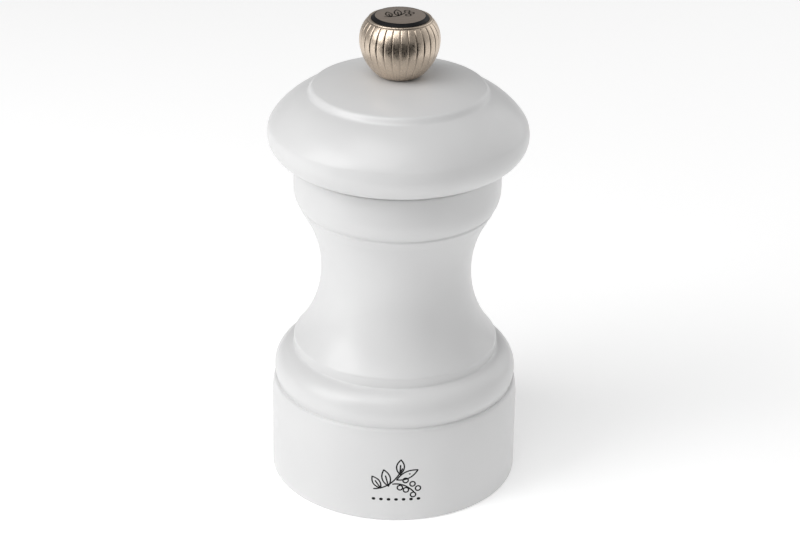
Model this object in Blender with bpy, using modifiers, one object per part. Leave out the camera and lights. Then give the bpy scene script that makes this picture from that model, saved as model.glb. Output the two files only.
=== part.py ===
"""Small turned pepper mill: a lacquered wooden body and head with a conical burr grinder inside.

The head turns the square spindle, the spindle turns the rotor inside the fixed stator, and the knob
on the spindle's thread raises or lowers the rotor. Lengths are in millimetres until MM makes them
metres. The mill stands on z = 0 and its axis is the Z axis.
"""

import math

import bmesh
import bpy
from mathutils import Vector

MM = 0.001
GAP = 0.3  # clearance between two pieces that touch or slide

# Driving dimensions of the turned casing
BASE_RADIUS = 25.9
BASE_EDGE = 0.6
BASE_WALL_TOP = 18.2
BEAD_RADIUS, BEAD_CENTRE_RADIUS, BEAD_CENTRE_HEIGHT = 4.85, 20.48, 23.6
BEAD_BOTTOM = 21.25
NECK_RADIUS = 21.3
RISER_TOP, COVE_TOP = 30.75, 58.6
COVE_RADIUS, COVE_CENTRE_RADIUS, COVE_CENTRE_HEIGHT = 23.97, 39.57, 46.13
COLLAR_BOTTOM = 61.0
BODY_TOP = 70.3
HEAD_BOTTOM = BODY_TOP + GAP
HEAD_BULGE_RADIUS, HEAD_BULGE_CENTRE_RADIUS, HEAD_BULGE_HEIGHT = 6.6, 20.0, 76.2
HEAD_BULGE_DROP = 5.6  # half height of the bulge below its widest place
DISC_RADIUS, DISC_EDGE_HEIGHT, DISC_TOP = 17.6, 86.15, 88.6

# Cavities of the body
RECESS_RADIUS, RECESS_CEILING = 19.2, 9.0
SEAT_RADIUS, SEAT_TOP = 13.3, 24.8
HOPPER_RADIUS = 11.0
SPIGOT_RADIUS = 14.15
SOCKET_FLOOR = 60.0

# Grinder
HOUSING_RADIUS, HOUSING_WALL, FLANGE_RADIUS, FLANGE_THICKNESS = 13.0, 1.1, 18.5, 1.2
HOUSING_TOP, LIP_THICKNESS = 24.4, 1.4
STATOR_BOTTOM, STATOR_TOP, STATOR_TEETH = 7.8, 21.4, 24
ROTOR_BOTTOM, ROTOR_TOP, ROTOR_TEETH = 6.2, 15.4, 16
ROTOR_TWIST = math.radians(40)  # helix of the rotor's teeth, from bottom to top
SEAT_PLATE_THICKNESS = 1.0
SPRING_WIRE, SPRING_RADIUS, SPRING_TURNS = 0.7, 4.6, 3.5
BRIDGE_THICKNESS, BRIDGE_WIDTH, BRIDGE_BOTTOM = 1.2, 9.0, 1.0
BRIDGE_SCREW_RADIUS = 15.9  # distance of the two wood screws from the axis

# Spindle and its fastenings
SPINDLE_SIDE = 5.0
SQUARE_HOLE_SIDE = SPINDLE_SIDE + 2 * GAP
THREAD_RADIUS = 2.0  # M4 x 0.7
PIVOT_RADIUS = 2.0
SQUARE_TOP, SPINDLE_TOP, SPINDLE_BOTTOM = 83.0, 96.0, 1.8
CLIP_BOTTOM, CLIP_THICKNESS, CLIP_GROOVE_RADIUS = 4.1, 0.7, 1.4
PLATE_RADIUS, PLATE_THICKNESS, PLATE_SCREW_RADIUS = 11.2, 1.2, 8.3
SPIGOT_BOTTOM = 61.0

# Knob
KNOB_RADIUS, KNOB_WAIST = 8.12, 95.84  # widest radius and its height
KNOB_UPPER, KNOB_LOWER = (6.4, 2.3), (8.86, 1.83)  # reach and power of the two half outlines
KNOB_FOOT, KNOB_TOP = 88.75, 100.45
KNOB_FLUTES, FLUTE_DEPTH = 30, 0.3
KNOB_BORE_RADIUS, KNOB_BORE_TOP = 3.3, 96.8
INLAY_FLOOR, INLAY_RADIUS = 100.0, 5.9

SEGMENTS = 40
FINE_SEGMENTS = 20  # for the small pieces


def clear_scene():
    for obj in list(bpy.data.objects):
        bpy.data.objects.remove(obj, do_unlink=True)


def make_collection(name):
    collection = bpy.data.collections.new(name)
    bpy.context.scene.collection.children.link(collection)
    return collection


def make_material(name, color, roughness, metallic=0.0):
    material = bpy.data.materials.new(name)
    material.use_nodes = True
    shader = material.node_tree.nodes["Principled BSDF"]
    shader.inputs["Base Color"].default_value = (*color, 1.0)
    shader.inputs["Roughness"].default_value = roughness
    shader.inputs["Metallic"].default_value = metallic
    return material


def add_mesh(name, mesh, collection, material=None):
    obj = bpy.data.objects.new(name, mesh)
    collection.objects.link(obj)
    if material:
        mesh.materials.append(material)
    return obj


def smooth(obj, angle=40):
    obj.data.shade_smooth()
    obj.data.set_sharp_from_angle(angle=math.radians(angle))


def arc(centre_radius, centre_height, radius, start, end, steps):
    """Points (r, z) on a circle of the profile plane, from angle start to angle end in degrees."""
    points = []
    for step in range(steps + 1):
        angle = math.radians(start + (end - start) * step / steps)
        points.append((centre_radius + radius * math.cos(angle), centre_height + radius * math.sin(angle)))
    return points


def turned(name, profile, collection, material=None, segments=SEGMENTS, closed=True):
    """Turns a profile (r, z) about Z. A closed profile goes down its outer side and up its bore."""
    shape = bmesh.new()
    corners = [shape.verts.new((r * MM, 0, z * MM)) for r, z in profile]
    for first, second in zip(corners, corners[1:]):
        shape.edges.new((first, second))
    if closed:
        shape.edges.new((corners[-1], corners[0]))
    mesh = bpy.data.meshes.new(name)
    shape.to_mesh(mesh)
    shape.free()
    obj = add_mesh(name, mesh, collection, material)
    screw = obj.modifiers.new("Turn", "SCREW")
    screw.steps = segments
    screw.render_steps = segments
    screw.use_merge_vertices = True
    screw.merge_threshold = 1e-6
    screw.use_smooth_shade = False
    return obj


def lofted(name, sections, collection, material=None):
    """Joins rings of equally many points (x, y, z), given from bottom to top, into one capped solid."""
    shape = bmesh.new()
    rings = [[shape.verts.new(Vector(point) * MM) for point in section] for section in sections]
    count = len(rings[0])
    for lower, upper in zip(rings, rings[1:]):
        for i in range(count):
            j = (i + 1) % count
            shape.faces.new((lower[i], lower[j], upper[j], upper[i]))
    shape.faces.new(list(reversed(rings[0])))
    shape.faces.new(rings[-1])
    mesh = bpy.data.meshes.new(name)
    shape.to_mesh(mesh)
    shape.free()
    return add_mesh(name, mesh, collection, material)


def toothed_ring(height, crest, valley, teeth, points_per_tooth, twist=0.0):
    """One ring of a toothed shape: the first point of each tooth is its crest, the others its valley."""
    count = teeth * points_per_tooth
    ring = []
    for i in range(count):
        radius = crest if i % points_per_tooth == 0 else valley
        angle = 2 * math.pi * i / count + twist
        ring.append((radius * math.cos(angle), radius * math.sin(angle), height))
    return ring


def box(name, size, centre, collection, material=None):
    """An axis-aligned box."""
    shape = bmesh.new()
    bmesh.ops.create_cube(shape, size=1.0)
    for vertex in shape.verts:
        vertex.co = Vector(v * s * MM for v, s in zip(vertex.co, size))
    mesh = bpy.data.meshes.new(name)
    shape.to_mesh(mesh)
    shape.free()
    obj = add_mesh(name, mesh, collection, material)
    obj.location = Vector(centre) * MM
    return obj


def rod(name, radius, bottom, top, collection, material=None, x=0.0, y=0.0, segments=FINE_SEGMENTS):
    """A plain upright cylinder."""
    profile = [(0, top), (radius, top), (radius, bottom), (0, bottom)]
    obj = turned(name, profile, collection, material, segments, closed=False)
    obj.location = (x * MM, y * MM, 0)
    return obj


def combine(obj, other, operation="DIFFERENCE"):
    """Cuts obj with a helper, or joins the helper to it."""
    other.hide_render = True
    other.display_type = "WIRE"
    boolean = obj.modifiers.new(other.name, "BOOLEAN")
    boolean.operation = operation
    boolean.solver = "EXACT"
    boolean.object = other


def around(count, radius, start=0.0):
    """Places spaced evenly on a circle."""
    for i in range(count):
        angle = math.radians(start) + 2 * math.pi * i / count
        yield radius * math.cos(angle), radius * math.sin(angle)


def body_casing(parts, cutters, wood):
    bead_low = -math.degrees(math.asin((BEAD_CENTRE_HEIGHT - BEAD_BOTTOM) / BEAD_RADIUS))
    cove_low = 180 + math.degrees(math.asin((COVE_CENTRE_HEIGHT - RISER_TOP) / COVE_RADIUS))
    cove_high = 180 - math.degrees(math.asin((COVE_TOP - COVE_CENTRE_HEIGHT) / COVE_RADIUS))
    outside = [(NECK_RADIUS - 0.5, BODY_TOP), (NECK_RADIUS - 0.15, BODY_TOP - 0.15), (NECK_RADIUS, BODY_TOP - 0.5)]
    outside += [(NECK_RADIUS, 63.3), (20.9, 62.0), (20.5, COLLAR_BOTTOM), (19.85, 60.6), (20.0, 60.3), (19.6, 59.2)]
    outside += arc(COVE_CENTRE_RADIUS, COVE_CENTRE_HEIGHT, COVE_RADIUS, cove_high, cove_low, 9)
    outside += [(NECK_RADIUS, 28.9)]
    outside += arc(BEAD_CENTRE_RADIUS, BEAD_CENTRE_HEIGHT, BEAD_RADIUS, 76, bead_low, 7)
    outside += [(25.45, 20.5), (BASE_RADIUS, BASE_WALL_TOP), (BASE_RADIUS, BASE_EDGE), (BASE_RADIUS - BASE_EDGE, 0)]
    inside = [(RECESS_RADIUS, 0), (RECESS_RADIUS, RECESS_CEILING), (SEAT_RADIUS, RECESS_CEILING)]
    inside += [(SEAT_RADIUS, SEAT_TOP), (HOPPER_RADIUS, SEAT_TOP), (HOPPER_RADIUS, SOCKET_FLOOR)]
    inside += [(SPIGOT_RADIUS + 0.35, SOCKET_FLOOR), (SPIGOT_RADIUS + 0.35, 69.9), (SPIGOT_RADIUS + 0.75, BODY_TOP)]
    casing = turned("body_casing", outside + inside, parts, wood)
    for x in (-BRIDGE_SCREW_RADIUS, BRIDGE_SCREW_RADIUS):
        combine(casing, rod("body_pilot_hole", 1.7, RECESS_CEILING - 2, 20.5, cutters, x=x, segments=12))


def mechanism_housing(parts, cutters, plastic):
    inner = HOUSING_RADIUS - HOUSING_WALL
    flange_top = RECESS_CEILING - GAP
    flange_bottom = flange_top - FLANGE_THICKNESS
    outside = [(HOUSING_RADIUS, HOUSING_TOP), (HOUSING_RADIUS, flange_top), (FLANGE_RADIUS, flange_top)]
    outside += [(FLANGE_RADIUS, flange_bottom)]
    inside = [(inner, flange_bottom), (inner, HOUSING_TOP - LIP_THICKNESS)]
    inside += [(10.2, HOUSING_TOP - LIP_THICKNESS), (10.2, HOUSING_TOP)]
    housing = turned("mechanism_housing", outside + inside, parts, plastic)
    for x in (-BRIDGE_SCREW_RADIUS, BRIDGE_SCREW_RADIUS):
        combine(housing, rod("flange_hole", 1.8, flange_bottom - 1, flange_top + 1, cutters, x=x, segments=12))


def grinder_stator(parts, cutters, steel):
    """The fixed burr: a ring whose toothed bore is wide at the top and flares again at the bottom."""
    radius = HOUSING_RADIUS - HOUSING_WALL - GAP
    stator = turned(
        "grinder_stator",
        [(radius, STATOR_TOP), (radius, STATOR_BOTTOM), (radius - 3.5, STATOR_BOTTOM), (radius - 3.5, STATOR_TOP)],
        parts,
        steel,
    )
    levels = [(STATOR_BOTTOM - 1, 10.5, 10.9), (12.5, 8.4, 9.0), (15.0, 8.8, 9.7), (STATOR_TOP + 1, 9.3, 10.3)]
    sections = [toothed_ring(z, tip, root, STATOR_TEETH, 2) for z, tip, root in levels]
    combine(stator, lofted("stator_bore", sections, cutters))


def spring_seat_plate(parts, cutters, steel):
    """Fixed plate over the stator: its hub carries the spring and its three windows let the corns through."""
    top = HOUSING_TOP - LIP_THICKNESS - GAP
    bottom = top - SEAT_PLATE_THICKNESS
    radius = HOUSING_RADIUS - HOUSING_WALL - GAP
    plate = turned("spring_seat_plate", [(radius, top), (radius, bottom), (3.9, bottom), (3.9, top)], parts, steel)
    for i in range(3):
        middle = 120 * i + 30
        outer = arc(0, 0, 9.6, middle - 50, middle + 50, 8)
        inner = arc(0, 0, 6.1, middle + 44, middle - 44, 6)
        sections = [[(x, y, z) for x, y in outer + inner] for z in (bottom - 1, top + 1)]
        combine(plate, lofted("plate_window", sections, cutters))


def square_washer(name, outer, bottom, top, parts, cutters, material):
    """A flat ring with a square hole that fits over the spindle."""
    ring = turned(name, [(0, top), (outer, top), (outer, bottom), (0, bottom)], parts, material, closed=False)
    size = (SQUARE_HOLE_SIDE, SQUARE_HOLE_SIDE, top - bottom + 4)
    combine(ring, box(name + "_hole", size, (0, 0, (top + bottom) / 2), cutters))
    return ring


def grinder_spring(parts, steel, bottom, top):
    """Compression spring between the rotor and the thrust washer, on the spindle."""
    wire = SPRING_WIRE / 2
    count = int(SPRING_TURNS * 16)
    curve = bpy.data.curves.new("grinder_spring", "CURVE")
    curve.dimensions = "3D"
    curve.bevel_depth = wire * MM
    curve.bevel_resolution = 1
    curve.use_fill_caps = True
    spline = curve.splines.new("POLY")
    spline.points.add(count)
    for i in range(count + 1):
        angle = 2 * math.pi * i / 16
        height = bottom + wire + (top - bottom - 2 * wire) * i / count
        place = Vector((SPRING_RADIUS * math.cos(angle), SPRING_RADIUS * math.sin(angle), height)) * MM
        spline.points[i].co = (*place, 1)
    curve.materials.append(steel)
    spring = bpy.data.objects.new("grinder_spring", curve)
    parts.objects.link(spring)


def grinder_rotor(parts, cutters, steel):
    """The turning burr: deep helical teeth at its narrow top, shallow ones at its wide foot."""
    levels = [
        (ROTOR_BOTTOM, 9.7, 9.4),
        (7.0, 10.0, 9.6),
        (9.5, 8.9, 8.4),
        (11.5, 7.7, 7.0),
        (13.4, 6.4, 5.5),
        (ROTOR_TOP, 5.5, 4.9),
    ]
    sections = []
    for height, crest, valley in levels:
        twist = ROTOR_TWIST * (height - ROTOR_BOTTOM) / (ROTOR_TOP - ROTOR_BOTTOM)
        sections.append(toothed_ring(height, crest, valley, ROTOR_TEETH, 3, twist))
    rotor = lofted("grinder_rotor", sections, parts, steel)
    size = (SQUARE_HOLE_SIDE, SQUARE_HOLE_SIDE, ROTOR_TOP)
    combine(rotor, box("rotor_hole", size, (0, 0, (ROTOR_TOP + ROTOR_BOTTOM) / 2), cutters))


def spindle(parts, cutters, steel):
    """Square bar with a round pivot and clip groove at its foot and a threaded end at its top."""
    height = SQUARE_TOP - ROTOR_BOTTOM
    bar = box("spindle", (SPINDLE_SIDE, SPINDLE_SIDE, height), (0, 0, ROTOR_BOTTOM + height / 2), parts, steel)
    groove_top = CLIP_BOTTOM + CLIP_THICKNESS + 0.2
    groove_bottom = CLIP_BOTTOM - 0.2
    foot = [(0, ROTOR_BOTTOM + 2), (PIVOT_RADIUS, ROTOR_BOTTOM + 2), (PIVOT_RADIUS, groove_top)]
    foot += [(CLIP_GROOVE_RADIUS, groove_top), (CLIP_GROOVE_RADIUS, groove_bottom), (PIVOT_RADIUS, groove_bottom)]
    foot += [(PIVOT_RADIUS, SPINDLE_BOTTOM + 0.4), (PIVOT_RADIUS - 0.4, SPINDLE_BOTTOM), (0, SPINDLE_BOTTOM)]
    combine(bar, turned("spindle_pivot", foot, cutters, segments=FINE_SEGMENTS, closed=False), "UNION")
    tip = [(0, SPINDLE_TOP), (THREAD_RADIUS - 0.5, SPINDLE_TOP), (THREAD_RADIUS, SPINDLE_TOP - 0.5)]
    tip += [(THREAD_RADIUS, SQUARE_TOP - 2), (0, SQUARE_TOP - 2)]
    combine(bar, turned("spindle_thread", tip, cutters, segments=FINE_SEGMENTS, closed=False), "UNION")


def rotor_washer_and_clip(parts, cutters, steel):
    """What holds the rotor on the spindle: a flat washer and an open clip in the groove below it."""
    washer_bottom = CLIP_BOTTOM + CLIP_THICKNESS + GAP
    washer_top = ROTOR_BOTTOM - GAP
    inner = PIVOT_RADIUS + GAP
    turned(
        "rotor_washer",
        [(5.0, washer_top), (5.0, washer_bottom), (inner, washer_bottom), (inner, washer_top)],
        parts,
        steel,
    )
    clip_inner = CLIP_GROOVE_RADIUS + GAP
    clip_top = CLIP_BOTTOM + CLIP_THICKNESS
    clip = turned(
        "retaining_clip",
        [(3.6, clip_top), (3.6, CLIP_BOTTOM), (clip_inner, CLIP_BOTTOM), (clip_inner, clip_top)],
        parts,
        steel,
        FINE_SEGMENTS,
    )
    combine(clip, box("clip_mouth", (2.6, 6.0, 4.0), (0, -3.0, CLIP_BOTTOM), cutters))


def retaining_bridge(parts, cutters, steel):
    """Bent strap under the mechanism that carries the spindle's pivot, open on both sides."""
    middle = BRIDGE_BOTTOM + BRIDGE_THICKNESS / 2
    ear = RECESS_CEILING - 2 * GAP - FLANGE_THICKNESS - BRIDGE_THICKNESS / 2
    line = [(-18.0, ear), (-12.6, ear), (-9.0, middle), (9.0, middle), (12.6, ear), (18.0, ear)]
    shape = bmesh.new()
    half = BRIDGE_WIDTH / 2
    near = [shape.verts.new((x * MM, -half * MM, z * MM)) for x, z in line]
    far = [shape.verts.new((x * MM, half * MM, z * MM)) for x, z in line]
    for i in range(len(line) - 1):
        shape.faces.new((near[i], near[i + 1], far[i + 1], far[i]))
    mesh = bpy.data.meshes.new("retaining_bridge")
    shape.to_mesh(mesh)
    shape.free()
    bridge = add_mesh("retaining_bridge", mesh, parts, steel)
    solidify = bridge.modifiers.new("Thickness", "SOLIDIFY")
    solidify.thickness = BRIDGE_THICKNESS * MM
    solidify.offset = 0.0
    solidify.use_even_offset = True
    bevel = bridge.modifiers.new("Bends", "BEVEL")
    bevel.width = 0.3 * MM
    bevel.segments = 2
    bevel.limit_method = "ANGLE"
    bevel.angle_limit = math.radians(20)
    combine(bridge, rod("bridge_centre_hole", 3.2, -1, 4, cutters))
    for x in (-BRIDGE_SCREW_RADIUS, BRIDGE_SCREW_RADIUS):
        combine(bridge, rod("bridge_screw_hole", 1.8, ear - 3, ear + 3, cutters, x=x, segments=16))


def pivot_bush(parts, brass):
    """Flanged bush in the bridge in which the spindle's pivot turns."""
    flange_bottom = BRIDGE_BOTTOM + BRIDGE_THICKNESS + GAP
    inner, outer = PIVOT_RADIUS + GAP, 3.2 - GAP
    profile = [(4.0, flange_bottom + GAP), (4.0, flange_bottom), (outer, flange_bottom), (outer, 0.9)]
    profile += [(inner, 0.9), (inner, flange_bottom + GAP)]
    turned("pivot_bush", profile, parts, brass, FINE_SEGMENTS)


def screw(name, x, y, seat, head_radius, head_height, shank_radius, length, parts, cutters, material):
    """A slotted pan-head screw driven upwards, with its head under z = seat."""
    low = seat - head_height
    profile = [(0, seat + length), (shank_radius * 0.3, seat + length), (shank_radius, seat + length - 2)]
    profile += [(shank_radius, seat), (head_radius, seat), (head_radius, low + head_height * 0.45)]
    profile += [(head_radius * 0.75, low + head_height * 0.1), (head_radius * 0.4, low), (0, low)]
    obj = turned(name, profile, parts, material, 20, closed=False)
    obj.location = (x * MM, y * MM, 0)
    slot = box(name + "_slot", (head_radius * 2.4, 0.6, head_height), (x, y, low), cutters)
    combine(obj, slot)


def head_casing(parts, cutters, wood):
    """The turned head, with the spigot that centres it in the body."""
    dome_sag = DISC_TOP - DISC_EDGE_HEIGHT
    dome_radius = (DISC_RADIUS**2 + dome_sag**2) / (2 * dome_sag)
    edge_angle = math.degrees(math.asin(DISC_RADIUS / dome_radius))
    outside = arc(0, DISC_TOP - dome_radius, dome_radius, 90 - 3, 90 - edge_angle, 5)
    outside += [(17.95, 85.8), (18.05, 85.3), (18.4, 84.95)]
    outside += [(20.4, 84.05), (22.5, 82.6), (24.4, 80.75), (25.7, 79.1)]
    for radius, height in arc(HEAD_BULGE_CENTRE_RADIUS, HEAD_BULGE_HEIGHT, HEAD_BULGE_RADIUS, 14, -60, 8):
        below = max(HEAD_BULGE_HEIGHT - height, 0)
        outside.append((radius, height + below * (1 - HEAD_BULGE_DROP / HEAD_BULGE_RADIUS)))
    outside += [(22.45, 70.92), (21.6, HEAD_BOTTOM), (SPIGOT_RADIUS, HEAD_BOTTOM)]
    outside += [(SPIGOT_RADIUS, SPIGOT_BOTTOM + 0.4), (SPIGOT_RADIUS - 0.4, SPIGOT_BOTTOM)]
    plate_ceiling = SPIGOT_BOTTOM + PLATE_THICKNESS + 2 * GAP
    inside = [(PLATE_RADIUS + GAP, SPIGOT_BOTTOM), (PLATE_RADIUS + GAP, plate_ceiling), (4.2, plate_ceiling)]
    inside += [(4.2, 84.0), (2.4, 84.0), (2.4, DISC_TOP)]
    casing = turned("head_casing", outside + inside, parts, wood)
    for x, y in around(3, PLATE_SCREW_RADIUS, 90):
        combine(casing, rod("head_pilot_hole", 1.3, plate_ceiling - 1, 69.0, cutters, x=x, y=y, segments=12))


def drive_plate(parts, cutters, steel):
    """Round plate under the head whose square hole drives the spindle."""
    bottom = SPIGOT_BOTTOM + GAP
    top = bottom + PLATE_THICKNESS
    plate = square_washer("drive_plate", PLATE_RADIUS, bottom, top, parts, cutters, steel)
    for x, y in around(3, PLATE_SCREW_RADIUS, 90):
        combine(plate, rod("plate_screw_hole", 1.4, bottom - 1, top + 1, cutters, x=x, y=y, segments=12))


def knob_outline(height):
    """Radius of the knob at a height: a half outline above its widest place and another below."""
    reach, power = KNOB_UPPER if height > KNOB_WAIST else KNOB_LOWER
    return KNOB_RADIUS * (1 - (abs(height - KNOB_WAIST) / reach) ** power) ** (1 / power)


def knob_shell(parts, cutters, nickel):
    """Ball knob with upright flutes that fade out under its top rim."""
    sections = []
    levels = [(KNOB_FOOT, 0), (89.4, 0.6), (90.4, 1), (92.0, 1), (93.9, 1), (96.1, 1), (98.0, 1), (99.3, 1)]
    levels += [(99.9, 0), (KNOB_TOP, 0)]
    for height, depth in levels:
        radius = knob_outline(height)
        valley = radius - depth * FLUTE_DEPTH
        sections.append(toothed_ring(height, radius, valley, KNOB_FLUTES, 2))
    shell = lofted("knob_shell", sections, parts, nickel)
    combine(shell, rod("knob_bore", KNOB_BORE_RADIUS, 85, KNOB_BORE_TOP, cutters, segments=SEGMENTS))
    combine(shell, rod("knob_inlay_recess", INLAY_RADIUS, INLAY_FLOOR, 103, cutters, segments=SEGMENTS))


def knob_fittings(parts, brass, enamel, nickel):
    insert_bottom = DISC_TOP + GAP
    outer, bore = KNOB_BORE_RADIUS - 0.2, THREAD_RADIUS + 0.25
    turned(
        "knob_thread_insert",
        [(outer, 95.4), (outer, insert_bottom), (bore, insert_bottom), (bore, 95.4)],
        parts,
        brass,
        FINE_SEGMENTS,
    )
    low, high = INLAY_FLOOR + 0.15, 100.75
    turned("knob_ring_inlay", [(5.65, high), (5.65, low), (5.25, low), (5.25, high)], parts, enamel)
    disc = [(0, 101.0), (2.6, 100.96), (4.9, 100.82), (5.05, 100.7), (5.05, low), (0, low)]
    turned("knob_cap_disc", disc, parts, nickel, closed=False)


def main():
    clear_scene()
    parts = make_collection("pepper_mill")
    cutters = make_collection("cutters")
    wood = make_material("white_lacquered_wood", (0.86, 0.86, 0.85), 0.35)
    nickel = make_material("satin_nickel", (0.72, 0.66, 0.58), 0.3, 1.0)
    steel = make_material("grinder_steel", (0.42, 0.42, 0.43), 0.4, 1.0)
    bright = make_material("bright_steel", (0.62, 0.62, 0.63), 0.28, 1.0)
    brass = make_material("brass", (0.76, 0.6, 0.32), 0.3, 1.0)
    plastic = make_material("black_plastic", (0.03, 0.03, 0.03), 0.5)
    enamel = make_material("black_enamel", (0.01, 0.01, 0.01), 0.2)

    body_casing(parts, cutters, wood)
    mechanism_housing(parts, cutters, plastic)
    grinder_stator(parts, cutters, steel)
    spring_seat_plate(parts, cutters, bright)
    retaining_bridge(parts, cutters, bright)
    pivot_bush(parts, brass)
    ear_bottom = RECESS_CEILING - 2 * GAP - FLANGE_THICKNESS - BRIDGE_THICKNESS
    for side, x in (("left", -BRIDGE_SCREW_RADIUS), ("right", BRIDGE_SCREW_RADIUS)):
        screw("bridge_screw_" + side, x, 0, ear_bottom - GAP, 2.6, 1.6, 1.4, 14.0, parts, cutters, bright)

    plate_bottom = HOUSING_TOP - LIP_THICKNESS - GAP - SEAT_PLATE_THICKNESS
    washer_top = plate_bottom - GAP
    square_washer("thrust_washer", 6.0, washer_top - 0.8, washer_top, parts, cutters, bright)
    grinder_spring(parts, bright, ROTOR_TOP + GAP, washer_top - 0.8 - GAP)

    spindle(parts, cutters, bright)
    grinder_rotor(parts, cutters, steel)
    rotor_washer_and_clip(parts, cutters, bright)

    head_casing(parts, cutters, wood)
    drive_plate(parts, cutters, bright)
    for i, (x, y) in enumerate(around(3, PLATE_SCREW_RADIUS, 90)):
        screw(f"drive_plate_screw_{i + 1}", x, y, SPIGOT_BOTTOM, 1.9, 1.0, 1.0, 6.5, parts, cutters, bright)
    knob_shell(parts, cutters, nickel)
    knob_fittings(parts, brass, enamel, nickel)

    for obj in parts.objects:
        if obj.type == "MESH":
            smooth(obj)


main()
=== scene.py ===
import math

import bmesh
import bpy
import numpy as np
from mathutils import Matrix, Vector


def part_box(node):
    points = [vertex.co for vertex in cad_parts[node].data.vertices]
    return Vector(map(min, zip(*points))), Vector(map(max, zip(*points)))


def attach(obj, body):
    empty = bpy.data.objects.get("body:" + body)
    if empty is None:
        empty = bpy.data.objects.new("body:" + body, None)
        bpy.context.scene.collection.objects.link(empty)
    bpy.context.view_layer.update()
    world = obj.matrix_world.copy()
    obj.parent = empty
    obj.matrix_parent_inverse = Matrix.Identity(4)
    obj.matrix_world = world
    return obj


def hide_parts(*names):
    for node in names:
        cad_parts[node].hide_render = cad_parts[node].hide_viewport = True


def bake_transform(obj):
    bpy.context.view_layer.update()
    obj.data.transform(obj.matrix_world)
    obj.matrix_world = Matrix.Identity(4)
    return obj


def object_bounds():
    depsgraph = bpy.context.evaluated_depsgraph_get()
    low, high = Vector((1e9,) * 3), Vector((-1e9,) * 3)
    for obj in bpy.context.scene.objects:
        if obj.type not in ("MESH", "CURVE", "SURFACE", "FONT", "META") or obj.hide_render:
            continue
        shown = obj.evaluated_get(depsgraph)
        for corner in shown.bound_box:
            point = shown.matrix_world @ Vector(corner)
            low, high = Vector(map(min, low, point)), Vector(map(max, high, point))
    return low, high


# The looks of a small turned pepper mill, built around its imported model. Shapes are written in
# millimetres, as (radius, height) outlines about the mill's axis or as flat (x, y) outlines, and become
# metres in new_piece and cutter_prism.

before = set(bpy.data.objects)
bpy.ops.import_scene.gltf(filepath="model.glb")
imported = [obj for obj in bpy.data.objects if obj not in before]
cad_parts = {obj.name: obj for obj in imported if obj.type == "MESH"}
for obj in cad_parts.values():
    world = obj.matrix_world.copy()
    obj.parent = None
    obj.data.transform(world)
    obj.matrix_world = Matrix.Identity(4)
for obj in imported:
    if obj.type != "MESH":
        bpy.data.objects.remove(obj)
cad_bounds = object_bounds()

MM = 0.001
ROUND = 192  # segments of the big turned pieces
SMALL_ROUND = 144  # segments of the small ones

# Sizes in millimetres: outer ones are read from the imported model, and the others follow its design
BODY_HIGH = Vector(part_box("body_casing")[1]) / MM
HEAD_LOW, HEAD_HIGH = (Vector(corner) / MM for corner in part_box("head_casing"))
KNOB_LOW, KNOB_HIGH = (Vector(corner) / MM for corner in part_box("knob_shell"))
BASE_RADIUS = BODY_HIGH.x
BODY_TOP = BODY_HIGH.z
NECK_RADIUS = 21.3
RECESS_RADIUS = 19.2
HEAD_BOTTOM = BODY_TOP + 0.3
HEAD_TOP = HEAD_HIGH.z
SPIGOT_BOTTOM = HEAD_LOW.z
KNOB_RADIUS = KNOB_HIGH.x
KNOB_WAIST = 95.84
KNOB_FOOT, KNOB_RIM = KNOB_LOW.z, KNOB_HIGH.z
KNOB_TOP = cad_bounds[1].z / MM
KNOB_FLUTES, FLUTE_PHASE = 30, 0.08  # phase of the groove nearest the front, in flutes
RING_RADIUS, DISC_RADIUS = 5.77, 5.03  # black ring and disc in the knob's top
M4_PITCH = 0.7
BRIDGE_SCREW_PLACES = (-15.9, 15.9)
PLATE_SCREW_PLACES = [(8.3 * math.cos(a), 8.3 * math.sin(a)) for a in np.radians((90, 210, 330))]


# ---------------------------------------------------------------- mesh helpers


def new_piece(name, points, faces, material, body, nodes=(), sharp=35):
    """Makes a mesh from millimetre points, smooths it, and lets it ride on a body in place of nodes.
    """
    mesh = bpy.data.meshes.new(name)
    mesh.from_pydata([tuple(c * MM for c in point) for point in points], [], faces)
    mesh.validate()
    piece = bpy.data.objects.new(name, mesh)
    bpy.context.scene.collection.objects.link(piece)
    tidy_mesh(mesh, sharp)
    mesh.materials.append(material)
    if body:
        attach(piece, body)
    if nodes:
        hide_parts(*nodes)
    return piece


def tidy_mesh(mesh, sharp=35):
    """Turns all faces outwards and shades the mesh smooth up to an angle."""
    shape = bmesh.new()
    shape.from_mesh(mesh)
    bmesh.ops.recalc_face_normals(shape, faces=shape.faces)
    shape.to_mesh(mesh)
    shape.free()
    mesh.shade_smooth()
    mesh.set_sharp_from_angle(angle=math.radians(sharp))


def arc(centre_radius, centre_height, radius, start, end, steps):
    """Points (r, z) on a circle of the outline's plane, from angle start to angle end in degrees."""
    points = []
    for angle in np.radians(np.linspace(start, end, steps + 1)):
        points.append((centre_radius + radius * math.cos(angle), centre_height + radius * math.sin(angle)))
    return points


def bezier(controls, steps):
    """Points on the curve of a few control points of the outline's plane."""
    degree = len(controls) - 1
    points = []
    for t in np.linspace(0, 1, steps + 1):
        weights = [math.comb(degree, i) * t**i * (1 - t) ** (degree - i) for i in range(degree + 1)]
        points.append(tuple(sum(w * p[axis] for w, p in zip(weights, controls)) for axis in (0, 1)))
    return points


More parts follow.
